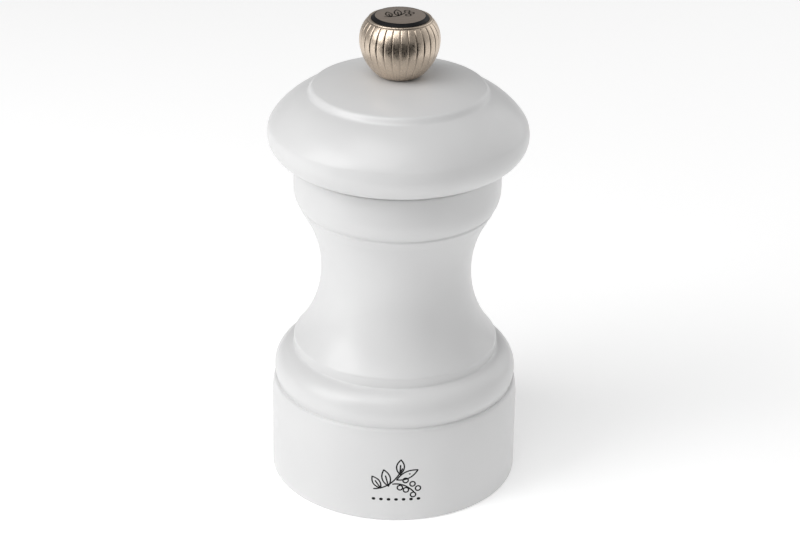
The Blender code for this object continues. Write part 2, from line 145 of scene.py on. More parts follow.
def rounded(corners, closed=True, steps=4):
    """Rounds each corner (r, z, fillet) of an outline; a corner without a fillet stays as it is."""
    outline = []
    count = len(corners)
    for i, corner in enumerate(corners):
        fillet = corner[2] if len(corner) > 2 else 0.0
        at_end = not closed and i in (0, count - 1)
        here = Vector(corner[:2])
        if fillet <= 0 or at_end:
            outline.append(tuple(here))
            continue
        before = Vector(corners[i - 1][:2]) - here
        after = Vector(corners[(i + 1) % count][:2]) - here
        reach = min(fillet, 0.45 * before.length, 0.45 * after.length)
        start = here + before.normalized() * reach
        end = here + after.normalized() * reach
        outline += bezier((start, here, end), steps)
    return outline


def turned(name, outline, material, body, nodes=(), segments=ROUND, centre=(0, 0), sharp=35):
    """Turns an outline about Z: a closed loop, or an open line that starts and ends on the axis.

    An outline can be a function of the angle, for teeth, threads and square holes.
    """
    angles = np.linspace(0, 2 * math.pi, segments, endpoint=False)
    outlines = [outline(angle) for angle in angles] if callable(outline) else [outline] * segments
    first_outline = outlines[0]
    on_axis = first_outline[0][0] == 0 and first_outline[-1][0] == 0
    rows = range(1, len(first_outline) - 1) if on_axis else range(len(first_outline))
    points = []
    for row in rows:
        for angle, shape in zip(angles, outlines):
            r, z = shape[row]
            points.append((centre[0] + r * math.cos(angle), centre[1] + r * math.sin(angle), z))
    count = len(rows)
    faces = []
    for row in range(count - 1 if on_axis else count):
        faces += ring_faces(row * segments, ((row + 1) % count) * segments, segments)
    if on_axis:
        for height, row in ((first_outline[0][1], 0), (first_outline[-1][1], count - 1)):
            points.append((centre[0], centre[1], height))
            tip = len(points) - 1
            first = row * segments
            faces += [(tip, first + i, first + (i + 1) % segments) for i in range(segments)]
    return new_piece(name, points, faces, material, body, nodes, sharp)


def ring_faces(lower, upper, segments):
    """Quads between two rings of points that start at the given indices."""
    faces = []
    for i in range(segments):
        j = (i + 1) % segments
        faces.append((lower + i, lower + j, upper + j, upper + i))
    return faces


def swept(name, rings, material, body, nodes=(), closed=False, sharp=35):
    """Joins rings of equally many points; a closed one joins its last ring to its first."""
    segments = len(rings[0])
    points = [tuple(point) for ring in rings for point in ring]
    faces = []
    count = len(rings)
    for row in range(count if closed else count - 1):
        faces += ring_faces(row * segments, ((row + 1) % count) * segments, segments)
    if not closed:
        for row in (0, count - 1):
            faces.append(tuple(row * segments + i for i in range(segments)))
    return new_piece(name, points, faces, material, body, nodes, sharp)


def cut(piece, cutters, sharp=35):
    """Cuts a piece with other pieces' meshes, applies the cuts and removes the cutters."""
    for cutter in cutters:
        boolean = piece.modifiers.new("Cut", "BOOLEAN")
        boolean.operation = "DIFFERENCE"
        boolean.solver = "EXACT"
        boolean.object = cutter
    graph = bpy.context.evaluated_depsgraph_get()
    result = bpy.data.meshes.new_from_object(piece.evaluated_get(graph))
    piece.modifiers.clear()
    piece.data = result
    tidy_mesh(result, sharp)
    for cutter in cutters:
        bpy.data.objects.remove(cutter, do_unlink=True)


def cutter_prism(outline, low, high):
    """An upright prism over a flat outline of (x, y) corners."""
    shape = bmesh.new()
    base = [shape.verts.new((x * MM, y * MM, low * MM)) for x, y in outline]
    shape.faces.new(base)
    made = bmesh.ops.extrude_face_region(shape, geom=list(shape.faces))
    top = [item for item in made["geom"] if isinstance(item, bmesh.types.BMVert)]
    bmesh.ops.translate(shape, verts=top, vec=(0, 0, (high - low) * MM))
    bmesh.ops.recalc_face_normals(shape, faces=shape.faces)
    mesh = bpy.data.meshes.new("cutter")
    shape.to_mesh(mesh)
    shape.free()
    cutter = bpy.data.objects.new("cutter", mesh)
    bpy.context.scene.collection.objects.link(cutter)
    return cutter


def circle_outline(radius, x=0.0, y=0.0, count=32):
    angles = np.linspace(0, 2 * math.pi, count, endpoint=False)
    return [(x + radius * math.cos(a), y + radius * math.sin(a)) for a in angles]


def rectangle_outline(width, depth, x=0.0, y=0.0, turn=0.0):
    x_half, y_half = width / 2, depth / 2
    corners = [(-x_half, -y_half), (x_half, -y_half), (x_half, y_half), (-x_half, y_half)]
    c, s = math.cos(turn), math.sin(turn)
    return [(x + c * u - s * v, y + s * u + c * v) for u, v in corners]


# ---------------------------------------------------------------- materials


class Nodes:
    """Short calls for building one material's node tree around its Principled shader."""

    def __init__(self, name, color, roughness, metallic=0.0, **sockets):
        self.material = bpy.data.materials.new(name)
        self.material.use_nodes = True
        self.tree = self.material.node_tree
        self.shader = self.tree.nodes["Principled BSDF"]
        self.set(self.shader, "Base Color", (*color, 1.0))
        self.set(self.shader, "Roughness", roughness)
        self.set(self.shader, "Metallic", metallic)
        for socket, value in sockets.items():
            self.set(self.shader, socket.replace("_", " "), value)
        coordinates = self.tree.nodes.new("ShaderNodeTexCoord")
        self.place = coordinates.outputs["Object"]

    def set(self, node, socket, value):
        node.inputs[socket].default_value = value

    def link(self, output, node, socket):
        self.tree.links.new(output, node.inputs[socket])

    def mapped(self, scale, vector=None):
        """The object's own coordinates, in metres, times a scale for each axis."""
        node = self.tree.nodes.new("ShaderNodeMapping")
        self.set(node, "Scale", scale)
        self.link(vector or self.place, node, "Vector")
        return node.outputs["Vector"]

    def noise(self, vector, scale=1.0, detail=3.0, rough=0.5):
        node = self.tree.nodes.new("ShaderNodeTexNoise")
        self.set(node, "Scale", scale)
        self.set(node, "Detail", detail)
        self.set(node, "Roughness", rough)
        self.link(vector, node, "Vector")
        return node.outputs["Fac"]

    def math(self, operation, first, second=None):
        node = self.tree.nodes.new("ShaderNodeMath")
        node.operation = operation
        for i, value in enumerate((first, second)):
            if value is None:
                continue
            if isinstance(value, (int, float)):
                node.inputs[i].default_value = value
            else:
                self.tree.links.new(value, node.inputs[i])
        return node.outputs["Value"]

    def ranged(self, value, low, high, to_low, to_high):
        node = self.tree.nodes.new("ShaderNodeMapRange")
        sockets = ("From Min", "From Max", "To Min", "To Max")
        for socket, number in zip(sockets, (low, high, to_low, to_high)):
            self.set(node, socket, number)
        self.link(value, node, "Value")
        return node.outputs["Result"]

    def ramp(self, value, stops):
        """A colour ramp; stops are (position, (r, g, b))."""
        node = self.tree.nodes.new("ShaderNodeValToRGB")
        elements = node.color_ramp.elements
        while len(elements) < len(stops):
            elements.new(0.5)
        for element, (position, color) in zip(elements, stops):
            element.position = position
            element.color = (*color, 1.0)
        self.link(value, node, "Fac")
        return node.outputs["Color"]

    def bump(self, height, strength, distance):
        node = self.tree.nodes.new("ShaderNodeBump")
        self.set(node, "Strength", strength)
        self.set(node, "Distance", distance)
        self.link(height, node, "Height")
        self.link(node.outputs["Normal"], self.shader, "Normal")

    def polar(self):
        """(radius, angle, height) of the point about the mill's axis: radius and height in metres."""
        split = self.tree.nodes.new("ShaderNodeSeparateXYZ")
        self.link(self.place, split, "Vector")
        x, y, z = (split.outputs[i] for i in range(3))
        squared = self.math("ADD", self.math("MULTIPLY", x, x), self.math("MULTIPLY", y, y))
        radius = self.math("SQRT", squared)
        angle = self.math("ARCTAN2", y, x)
        return radius, angle, z

    def vector(self, x, y, z):
        node = self.tree.nodes.new("ShaderNodeCombineXYZ")
        for i, value in enumerate((x, y, z)):
            if isinstance(value, (int, float)):
                node.inputs[i].default_value = value
            else:
                self.tree.links.new(value, node.inputs[i])
        return node.outputs["Vector"]


def lacquer():
    """White satin lacquer on turned wood: faint grain and turning lines under a slightly uneven coat."""
    m = Nodes("white_lacquer", (0.68, 0.68, 0.68), 0.36, Coat_Weight=0.25, Coat_Roughness=0.22)
    grain = m.noise(m.mapped((1400, 1400, 60)), 1.0, 4.0, 0.6)
    peel = m.noise(m.mapped((520, 520, 520)), 1.0, 2.0, 0.5)
    cloud = m.noise(m.mapped((70, 70, 45)), 1.0, 2.0, 0.5)
    tint = m.ramp(cloud, [(0.3, (0.668, 0.668, 0.669)), (0.7, (0.692, 0.692, 0.692))])
    m.link(tint, m.shader, "Base Color")
    m.link(m.ranged(peel, 0.3, 0.7, 0.32, 0.42), m.shader, "Roughness")
    height = m.math("ADD", m.math("MULTIPLY", grain, 0.5), peel)
    m.bump(height, 0.12, 0.00006)
    return m.material


def satin_nickel():
    """Warm nickel plate with upright brush marks. The knob's grooves are darkened by patina together with
    painted shade, which is stronger towards the top; a painted shade line runs in the small groove under its
    rim.
    """
    m = Nodes("satin_nickel", (0.62, 0.54, 0.45), 0.3, 1.0)
    radius, angle, height = m.polar()
    flute = m.math("MULTIPLY", m.math("ADD", angle, math.pi / 2), KNOB_FLUTES / (2 * math.pi))
    from_groove = m.math("PINGPONG", m.math("SUBTRACT", flute, FLUTE_PHASE), 0.5)
    across = m.ranged(from_groove, 0.03, 0.1, 1.0, 0.0)
    # Darkening along each groove: patina together with painted shade; the painted shade is faint low on the
    # knob and strongest towards its top.
    groove_shade_and_patina = m.math("MULTIPLY", across, m.ranged(height, 91.0 * MM, 96.5 * MM, 0.2, 1.0))
    patchy = m.ranged(m.noise(m.mapped((700, 700, 500)), 1.0, 2.0, 0.5), 0.35, 0.6, 0.45, 1.0)
    below_end = m.ranged(height, 99.95 * MM, 100.08 * MM, 1.0, 0.0)
    in_grooves = m.math("MULTIPLY", m.math("MULTIPLY", groove_shade_and_patina, patchy), below_end)
    # A painted shade line in the small turned groove just under the rim.
    off_turned = m.math("ABSOLUTE", m.math("SUBTRACT", height, 100.16 * MM))
    outside = m.ranged(radius, 5.9 * MM, 6.1 * MM, 0.0, 1.0)
    rim_groove_shade = m.math("MULTIPLY", m.ranged(off_turned, 0.03 * MM, 0.09 * MM, 0.8, 0.0), outside)
    # One minus the painted shade and patina, mixed with the brush marks, picks the colour from the ramp
    # below.
    free_of_shade_and_patina = m.math("SUBTRACT", 1.0, m.math("MAXIMUM", in_grooves, rim_groove_shade))
    upright = m.vector(m.math("MULTIPLY", angle, 60), m.math("MULTIPLY", height, 250), 0.0)
    brush = m.noise(upright, 1.0, 4.0, 0.6)
    speck = m.noise(m.mapped((2600, 2600, 2600)), 1.0, 2.0, 0.5)
    shade_patina_and_brush = m.math("ADD", m.math("MULTIPLY", free_of_shade_and_patina, 0.8), m.math("MULTIPLY", brush, 0.35))
    stops = [(0.15, (0.085, 0.062, 0.045)), (0.6, (0.44, 0.37, 0.30)), (1.0, (0.66, 0.555, 0.45))]
    color = m.ramp(shade_patina_and_brush, stops)
    m.link(color, m.shader, "Base Color")
    m.link(m.ranged(m.math("ADD", brush, speck), 0.7, 1.3, 0.22, 0.42), m.shader, "Roughness")
    m.bump(m.math("ADD", brush, m.math("MULTIPLY", speck, 0.4)), 0.4, 0.00006)
    return m.material


def disc_nickel():
    """The flat nickel disc in the knob's top, lightly brushed across."""
    m = Nodes("disc_nickel", (0.45, 0.40, 0.34), 0.36, 1.0)
    brush = m.noise(m.mapped((500, 4200, 900)), 1.0, 4.0, 0.6)
    color = m.ramp(brush, [(0.3, (0.44, 0.37, 0.31)), (0.7, (0.59, 0.50, 0.43))])
    m.link(color, m.shader, "Base Color")
    m.link(m.ranged(brush, 0.3, 0.7, 0.3, 0.46), m.shader, "Roughness")
    m.bump(brush, 0.2, 0.00004)
    return m.material


def enamel():
    """Black enamel and printed ink: not quite even, with a soft gloss."""
    m = Nodes("black_enamel", (0.008, 0.008, 0.009), 0.42, Specular_IOR_Level=0.15)
    uneven = m.noise(m.mapped((900, 900, 900)), 1.0, 3.0, 0.5)
    tint = m.ramp(uneven, [(0.3, (0.005, 0.005, 0.006)), (0.75, (0.012, 0.012, 0.013))])
    m.link(tint, m.shader, "Base Color")
    m.link(m.ranged(uneven, 0.3, 0.7, 0.34, 0.5), m.shader, "Roughness")
    m.bump(uneven, 0.1, 0.00003)
    return m.material


def turned_metal(name, dark, light, roughness, lines=5200, uneven=160, strength=0.25):
    """Metal with fine lines running round the axis and a slightly cloudy surface."""
    m = Nodes(name, light, roughness, 1.0)
    radius, angle, height = m.polar()
    scales = ((radius, lines), (angle, 1.5), (height, lines))
    scaled = (m.math("MULTIPLY", value, scale) for value, scale in scales)
    line = m.noise(m.vector(*scaled), 1.0, 3.0, 0.6)
    cloud = m.noise(m.mapped((uneven, uneven, uneven)), 1.0, 4.0, 0.6)
    both = m.math("MULTIPLY", m.math("ADD", line, cloud), 0.5)
    m.link(m.ramp(both, [(0.35, dark), (0.65, light)]), m.shader, "Base Color")
    m.link(m.ranged(both, 0.35, 0.65, roughness + 0.08, roughness - 0.06), m.shader, "Roughness")
    m.bump(line, strength, 0.00005)
    return m.material


def black_plastic():
    """Moulded black plastic with a fine spark-eroded texture."""
    m = Nodes("black_plastic", (0.028, 0.028, 0.03), 0.5)
    fine = m.noise(m.mapped((4200, 4200, 4200)), 1.0, 2.0, 0.5)
    dust = m.noise(m.mapped((260, 260, 260)), 1.0, 4.0, 0.65)
    tint = m.ramp(dust, [(0.35, (0.022, 0.022, 0.024)), (0.75, (0.05, 0.048, 0.046))])
    m.link(tint, m.shader, "Base Color")
    m.link(m.ranged(dust, 0.3, 0.7, 0.42, 0.6), m.shader, "Roughness")
    m.bump(fine, 0.3, 0.00005)
    return m.material


def bare_wood():
    """Unlacquered beech inside the bores: fine upright grain with short dark flecks."""
    m = Nodes("bare_beech", (0.55, 0.38, 0.23), 0.62)
    grain = m.noise(m.mapped((900, 900, 45)), 1.0, 5.0, 0.65)
    fleck = m.noise(m.mapped((2400, 2400, 260)), 1.0, 2.0, 0.5)
    both = m.math("ADD", m.math("MULTIPLY", grain, 0.75), m.math("MULTIPLY", fleck, 0.3))
    stops = [(0.36, (0.36, 0.22, 0.12)), (0.55, (0.56, 0.39, 0.24)), (0.75, (0.68, 0.50, 0.33))]
    m.link(m.ramp(both, stops), m.shader, "Base Color")
    m.link(m.ranged(both, 0.4, 0.7, 0.7, 0.52), m.shader, "Roughness")
    m.bump(both, 0.35, 0.0001)
    return m.material


WHITE = lacquer()
WOOD = bare_wood()
NICKEL = satin_nickel()
DISC = disc_nickel()
ENAMEL = enamel()
BURR = turned_metal("burr_steel", (0.16, 0.16, 0.165), (0.30, 0.30, 0.31), 0.42, 2600, 300, 0.3)
BRIGHT = turned_metal("bright_steel", (0.44, 0.44, 0.45), (0.66, 0.66, 0.68), 0.28)
BRASS = turned_metal("turned_brass", (0.52, 0.36, 0.14), (0.78, 0.60, 0.30), 0.26)
PLASTIC = black_plastic()


# ---------------------------------------------------------------- camera, floor, light


def aim(obj, target):
    obj.rotation_euler = (Vector(target) - obj.location).to_track_quat("-Z", "Y").to_euler()


def make_camera():
    """The camera looks down on the mill from the front, leaning a little."""
    data = bpy.data.cameras.new("camera")
    data.lens = 103.1
    data.sensor_width = 36.0
    camera = bpy.data.objects.new("camera", data)
    bpy.context.scene.collection.objects.link(camera)
    yaw, pitch, roll = 0.00185, 0.44612, 0.01714
    ahead = Vector((math.sin(yaw) * math.cos(pitch), math.cos(yaw) * math.cos(pitch), -math.sin(pitch)))
    level = Vector((math.cos(yaw), -math.sin(yaw), 0.0))
    upward = level.cross(ahead)
    right = level * math.cos(roll) + upward * math.sin(roll)
    up = upward * math.cos(roll) - level * math.sin(roll)
    turn = Matrix((right, up, -ahead)).transposed().to_4x4()
    camera.matrix_world = Matrix.Translation((0, -0.42991, 0.2515)) @ turn
    bpy.context.scene.camera = camera


def area_light(name, place, size, power):
    """A square soft light that faces the middle of the mill."""
    data = bpy.data.lights.new(name, "AREA")
    data.energy = power
    data.size = size
    light = bpy.data.objects.new(name, data)
    light.location = place
    aim(light, (0, 0, 0.05))
    bpy.context.scene.collection.objects.link(light)


def make_floor():
    bpy.ops.mesh.primitive_plane_add(size=6.0, location=(0, 0, 0))
    floor = bpy.context.object
    floor.name = "floor"
    m = Nodes("floor_paper", (0.97, 0.97, 0.97), 0.85, Emission_Color=(1, 1, 1, 1), Emission_Strength=0.25)
    floor.data.materials.append(m.material)


def make_world():
    """An evenly pale room."""
    world = bpy.data.worlds.new("room")
    world.use_nodes = True
    background = world.node_tree.nodes["Background"]
    background.inputs["Color"].default_value = (1.0, 1.0, 1.0, 1.0)
    background.inputs["Strength"].default_value = 0.33
    bpy.context.scene.world = world


def make_card():
    """A black card low in front, seen only in reflections: it puts the dark band on the knob."""
    bpy.ops.mesh.primitive_plane_add(size=1.0, location=(0, -0.12, 0.06), rotation=(math.pi / 2, 0, 0))
    card = bpy.context.object
    card.name = "black_card"
    card.scale = (0.36, 0.12, 1.0)
    card.visible_camera = False
    card.visible_diffuse = False
    card.visible_shadow = False
    card.data.materials.append(Nodes("black_card", (0.02, 0.02, 0.02), 0.9).material)


def make_lights():
    """Broad soft lights: brightest from the left and from above the front, weaker on the right."""
    area_light("key", (-0.55, -0.25, 0.42), 0.45, 2.12)
    area_light("low_left", (-0.55, -0.4, 0.14), 0.3, 0.18)
    area_light("above_front", (-0.2, -0.3, 0.68), 0.5, 1.8)
    area_light("above_right", (0.4, 0.1, 0.6), 0.5, 0.2)
    area_light("right", (0.65, 0.0, 0.2), 0.5, 0.17)
    area_light("back_right", (0.5, 0.4, 0.3), 0.5, 0.72)


make_camera()
make_floor()
make_world()
make_card()
make_lights()
bpy.context.scene.view_settings.view_transform = "Standard"


# ---------------------------------------------------------------- body


def make_body():
    """Lacquered outside of the body; its bores are bare wood."""
    bead = (20.48, 23.6, 4.85)
    cove = (39.57, 46.13, 23.97)
    cove_high = 180 - math.degrees(math.asin((58.5 - cove[1]) / cove[2]))
    cove_low = 180 + math.degrees(math.asin((cove[1] - 31.1) / cove[2]))
    corners = [(14.9, BODY_TOP, 0.1), (NECK_RADIUS, BODY_TOP, 0.5), (NECK_RADIUS, 65.0)]
    corners += bezier([(NECK_RADIUS, 65.0), (NECK_RADIUS, 62.6), (20.4, 61.15)], 10)[1:]
    corners += [(19.82, 60.72, 0.35), (19.98, 60.15, 0.4), (19.32, 59.2, 0.4)]
    corners += arc(*cove, cove_high, cove_low, 50)
    corners += [(NECK_RADIUS, 30.6, 0.5), (NECK_RADIUS, 28.55, 0.55)]
    corners += arc(*bead, 74, -22, 32)
    corners += [(24.82, 21.12, 0.6)]
    corners += bezier([(25.14, 21.02), (25.5, 20.9), (25.6, 20.1)], 8)
    corners += bezier([(25.6, 20.1), (25.82, 18.9), (BASE_RADIUS, 17.2)], 8)[1:]
    corners += [(BASE_RADIUS, 9.0), (BASE_RADIUS, 0.0, 0.7), (RECESS_RADIUS, 0.0, 0.35)]
    corners += [(RECESS_RADIUS, 9.0, 0.3), (13.3, 9.0, 0.25), (13.3, 24.8, 0.2), (11.0, 24.8, 0.2)]
    corners += [(11.0, 60.0, 0.35), (14.5, 60.0, 0.3), (14.5, BODY_TOP - 0.4, 0.1)]
    body = turned("turned_body", rounded(corners), WHITE, "body", ["body_casing"], sharp=50)
    holes = [cutter_prism(circle_outline(1.7, x, 0), 7.0, 20.5) for x in BRIDGE_SCREW_PLACES]
    cut(body, holes, sharp=50)
    paint_inside(body, lambda radius, z: z > 0.4 and radius < (19.3 if z < 25 else 14.7))


def paint_inside(piece, is_inside):
    """Gives the faces for which is_inside(radius, height) holds the bare wood material."""
    piece.data.materials.append(WOOD)
    for face in piece.data.polygons:
        x, y, z = face.center / MM
        face.material_index = int(is_inside(math.hypot(x, y), z))


def make_head():
    """Mushroom head with a raised disc on top and a bare wooden spigot below."""
    disc_radius, disc_edge = 17.6, 86.15
    sag = HEAD_TOP - disc_edge
    dome = (disc_radius**2 + sag**2) / (2 * sag)
    edge_angle = math.degrees(math.asin(disc_radius / dome))
    corners = [(2.4, HEAD_TOP, 0.1)]
    corners += arc(0, HEAD_TOP - dome, dome, 87, 90 - edge_angle, 24)[:-1]
    corners += bezier([(17.25, 86.25), (18.08, 86.02), (17.93, 84.97), (18.75, 84.69)], 14)
    widest, flattened = 76.2, 0.15  # height of the bulge's widest place, and how much flatter it is below
    bulge = [(r, z + max(widest - z, 0) * flattened) for r, z in arc(20.0, widest, 6.57, 15, -60, 50)]
    corners += bezier([(18.05, 84.91), (22.63, 83.54), (26.05, 79.05), bulge[0]], 32)[2:-1] + bulge
    corners += [(22.45, 70.95, 0.4), (21.6, HEAD_BOTTOM, 0.3), (14.15, HEAD_BOTTOM, 0.3)]
    corners += [(14.15, SPIGOT_BOTTOM, 0.5), (11.5, SPIGOT_BOTTOM, 0.15), (11.5, 62.8, 0.15)]
    corners += [(4.2, 62.8, 0.2), (4.2, 84.0, 0.2), (2.4, 84.0)]
    head = turned("turned_head", rounded(corners), WHITE, "head", ["head_casing"], sharp=50)
    holes = [cutter_prism(circle_outline(1.3, x, y), 61.8, 69.0) for x, y in PLATE_SCREW_PLACES]
    cut(head, holes, sharp=50)

    def in_wood(radius, z):
        return radius < 14.2 and z < HEAD_BOTTOM - 0.2 or radius < 4.25 and z < HEAD_TOP - 0.2

    paint_inside(head, in_wood)


# ---------------------------------------------------------------- knob


def knob_outline(height):
    """Radius of the knob at a height: a half outline above its widest place and another below."""
    reach, power = (6.4, 2.3) if height > KNOB_WAIST else (8.86, 1.83)
    return KNOB_RADIUS * (1 - (abs(height - KNOB_WAIST) / reach) ** power) ** (1 / power)


def make_knob():
    """Ball knob: thirty narrow upright grooves between slightly pillowed lands, under a smooth rim."""
    groove_depth, groove_width, pillow_depth, groove_end = 0.12, 0.065, 0.03, 100.04
    half = [0.035, 0.07, 0.11, 0.16, 0.24, 0.36]
    fractions = [0.0, *half, 0.5, *(1 - f for f in reversed(half))]
    angles = []
    from_groove = []
    for flute in range(KNOB_FLUTES):
        for fraction in fractions:
            angles.append(2 * math.pi * (flute + fraction + FLUTE_PHASE) / KNOB_FLUTES - math.pi / 2)
            from_groove.append(min(fraction, 1 - fraction))
    rings = []
    for height in [*np.linspace(KNOB_FOOT + 0.05, 99.85, 68), 99.92, 99.97, 100.01, groove_end]:
        fade = np.clip((groove_end - height) / 0.12, 0, 1) * np.clip((height - KNOB_FOOT - 0.2) / 0.8, 0, 1)
        fade *= np.interp(height, (91.0, 96.0), (0.3, 1.0))
        ring = []
        for angle, f in zip(angles, from_groove):
            groove = groove_depth * math.exp(-((f / groove_width) ** 2))
            radius = knob_outline(height) - fade * (groove + pillow_depth * (1 - 2 * f) ** 3)
            ring.append((radius * math.cos(angle), radius * math.sin(angle), height))
        rings.append(ring)

    edge = [(6.5, 100.09), (6.41, 100.12), (6.39, 100.17), (6.44, 100.21)]
    edge += bezier([(6.44, 100.22), (6.42, KNOB_RIM), (6.15, KNOB_RIM)], 7)
    edge += [(5.88, KNOB_RIM - 0.03), (RING_RADIUS, KNOB_RIM - 0.12), (RING_RADIUS, 99.9), (3.2, 99.9)]
    edge += [(3.2, KNOB_FOOT + 0.1), (3.3, KNOB_FOOT), (knob_outline(KNOB_FOOT) - 0.15, KNOB_FOOT)]
    for radius, height in edge:
        rings.append([(radius * math.cos(a), radius * math.sin(a), height) for a in angles])
    swept("fluted_knob", rings, NICKEL, "knob", ["knob_shell"], closed=True, sharp=50)


def make_knob_top():
    """Black enamelled ring that slopes up from the knob's rim to the raised disc, and the brass insert."""
    floor, outer, inner = 100.1, RING_RADIUS - 0.01, DISC_RADIUS + 0.01
    ring = [(outer, KNOB_RIM + 0.04, 0.04), (outer, floor), (inner, floor)]
    ring += [(inner, KNOB_TOP - 0.04), (DISC_RADIUS + 0.1, KNOB_TOP - 0.03, 0.08)]
    nodes = ["knob_ring_inlay"]
    turned("knob_enamel_ring", rounded(ring), ENAMEL, "knob", nodes, SMALL_ROUND)
    disc = [(0, KNOB_TOP), (DISC_RADIUS - 0.15, KNOB_TOP), (DISC_RADIUS, KNOB_TOP - 0.05)]
    disc += [(DISC_RADIUS, floor), (0, floor)]
    turned("knob_disc", disc, DISC, "knob", ["knob_cap_disc"], SMALL_ROUND)

    def thread_insert(angle):
        bore = [(thread_radius(z, angle, 2.25, 0.25), z) for z in np.arange(89.2, 95.1, M4_PITCH / 8)]
        return [(3.1, 95.2), (3.1, 89.15), (2.9, 88.9), (2.6, 88.9), *bore, (2.5, 95.4), (2.9, 95.4)]

    turned("thread_insert", thread_insert, BRASS, "knob", ["knob_thread_insert"], 48)


# ---------------------------------------------------------------- printed marks


def ribbon(path, width, closed=False):
    """Left and right edges of a line of a given width along (u, v) points, with round ends if it is open."""
    points = [Vector(point) for point in path]
    halves = [width / 2] * len(points)
    if not closed:
        for end, other in ((0, 1), (-1, -2)):
            outward = (points[end] - points[other]).normalized()
            caps = [
                (points[end] + outward * width / 2 * math.sin(a), width / 2 * math.cos(a))
                for a in np.radians((30, 55, 75, 87))
            ]
            if end == 0:
                points = [p for p, _ in reversed(caps)] + points
                halves = [h for _, h in reversed(caps)] + halves
            else:
                points += [p for p, _ in caps]
                halves += [h for _, h in caps]
    edges = []
    count = len(points)
    for i, (point, half) in enumerate(zip(points, halves)):
        before = points[i - 1] if closed or i > 0 else point
        after = points[(i + 1) % count] if closed or i < count - 1 else point
        along = (after - before).normalized()
        side = Vector((-along.y, along.x)) * half
        edges.append((point + side, point - side))
    return edges


def ink(name, lines, place, body, lift):
    """Raised printed lines: (path, width, closed) each, set on the surface by place(u, v, height)."""
    points, faces = [], []
    for path, width, closed in lines:
        edges = ribbon(path, width, closed)
        start, count = len(points), len(edges)
        for left, right in edges:
            for (u, v), height in ((left, -lift), (right, -lift), (right, lift), (left, lift)):
                points.append(place(u, v, height))
        for i in range(count if closed else count - 1):
            near, far = start + 4 * i, start + 4 * ((i + 1) % count)
            faces += [(near + k, near + (k + 1) % 4, far + (k + 1) % 4, far + k) for k in range(4)]
        if not closed:
            faces += [tuple(start + k for k in range(4)), tuple(start + 4 * count - 1 - k for k in range(4))]
    return new_piece(name, points, faces, ENAMEL, body)


def leaf(base, tip, bulge, width, rib=0.62):
    """Two curved edges and a midrib."""
    base, tip = Vector(base), Vector(tip)
    along = tip - base
    side = Vector((-along.y, along.x)).normalized() * bulge * 2
    middle = (base + tip) / 2
    edges = [(bezier((base, middle + side * s, tip), 12), width, False) for s in (1, -1)]
    return edges + [([tuple(base), tuple(base + along * rib)], width, False)]


def berry(u, v, radius, width, count=20):
    return circle_outline(radius, u, v, count), width, True


def make_marks():
    """A pepper sprig above a row of dots, printed on the base, and a small sprig on the knob's disc."""
    line = 0.3
    sprig = [(bezier([(-4.6, -2.0), (-0.8, -1.6), (1.2, 2.9)], 20), line, False)]
    sprig += leaf((-3.2, -1.75), (-5.0, 0.9), 0.72, line)
    sprig += leaf((-1.6, -1.2), (-2.6, 2.6), 0.85, line)
    sprig += leaf((0.7, 1.6), (0.9, 5.0), 0.8, line)
    sprig += leaf((0.1, 0.3), (4.4, 2.5), 0.8, line)
    stalk = bezier([(-0.7, -0.7), (1.6, -0.3), (3.6, -2.6)], 14)
    sprig.append((stalk, line, False))
    for u, v in ((0.75, -1.55), (1.9, 0.15), (2.0, -2.1), (3.35, -0.75), (4.5, -1.85), (3.5, -3.3)):
        sprig.append(berry(u, v, 0.55, line))
    for i in range(7):
        sprig.append(([(1.55 * (i - 3) - 0.08, -4.35), (1.55 * (i - 3) + 0.08, -4.35)], 0.62, False))

    def on_base(u, v, height):
        radius = BASE_RADIUS - 0.005 + height
        angle = (u + 0.75) / BASE_RADIUS - math.pi / 2
        return radius * math.cos(angle), radius * math.sin(angle), 9.55 + v

    ink("sprig_print", sprig, on_base, "body", 0.012)

    line = 0.26
    small = [(bezier([(-3.1, -1.5), (-0.2, -1.9), (1.0, 1.2)], 14), line, False)]
    small += leaf((-1.9, -1.6), (-2.6, 1.3), 0.62, line)
    small += leaf((-0.3, -0.9), (-0.7, 2.7), 0.7, line)
    for u, v in ((1.35, 2.0), (2.2, 0.9), (1.6, -0.3)):
        small.append(berry(u, v, 0.55, line))

    def on_disc(u, v, height):
        return u, v + 0.3, KNOB_TOP - 0.012 + height

    ink("disc_print", small, on_disc, "knob", 0.012)


# ---------------------------------------------------------------- grinder


def levelled(levels, z):
    """Reads (height, value, value) levels at a height, straight between them."""
    heights = [level[0] for level in levels]
    return [float(np.interp(z, heights, [level[i] for level in levels])) for i in (1, 2)]


def saw(turns, lean=0.3):
    """A tooth wave from 0 at its sharp crest to 1 in its valley, steeper on one side."""
    phase = turns % 1.0
    return (phase / lean if phase < lean else (1 - phase) / (1 - lean)) ** 0.8


def square_radius(angle, side):
    return side / 2 / max(abs(math.cos(angle)), abs(math.sin(angle)))


def make_rotor():
    """The turning burr: coarse helical teeth above, three times as many fine ones round its foot."""
    levels = [(6.2, 9.7, 9.4), (7.0, 10.0, 9.6), (9.5, 8.9, 8.4), (11.5, 7.7, 7.0)]
    levels += [(13.4, 6.4, 5.5), (15.4, 5.5, 4.9)]
    teeth, twist, fine_top = 16, math.radians(40), 9.4

    def outline(angle):
        side = []
        for z in np.linspace(15.4, 6.2, 47):
            crest, valley = levelled(levels, z)
            turned_back = (angle - twist * (z - 6.2) / 9.2) / (2 * math.pi)
            if z > fine_top:
                depth = (crest - valley) * 1.15 * saw(turned_back * teeth)
            else:
                depth = (crest - valley) * 0.8 * saw(turned_back * teeth * 3)
            side.append((crest - depth, z))
        hole = square_radius(angle, 5.6)
        return [(hole + 0.15, 15.4)] + side + [(hole + 0.15, 6.2), (hole, 6.35), (hole, 15.25)]

    turned("burr_rotor", outline, BURR, "spindle", ["grinder_rotor"], 384, sharp=28)


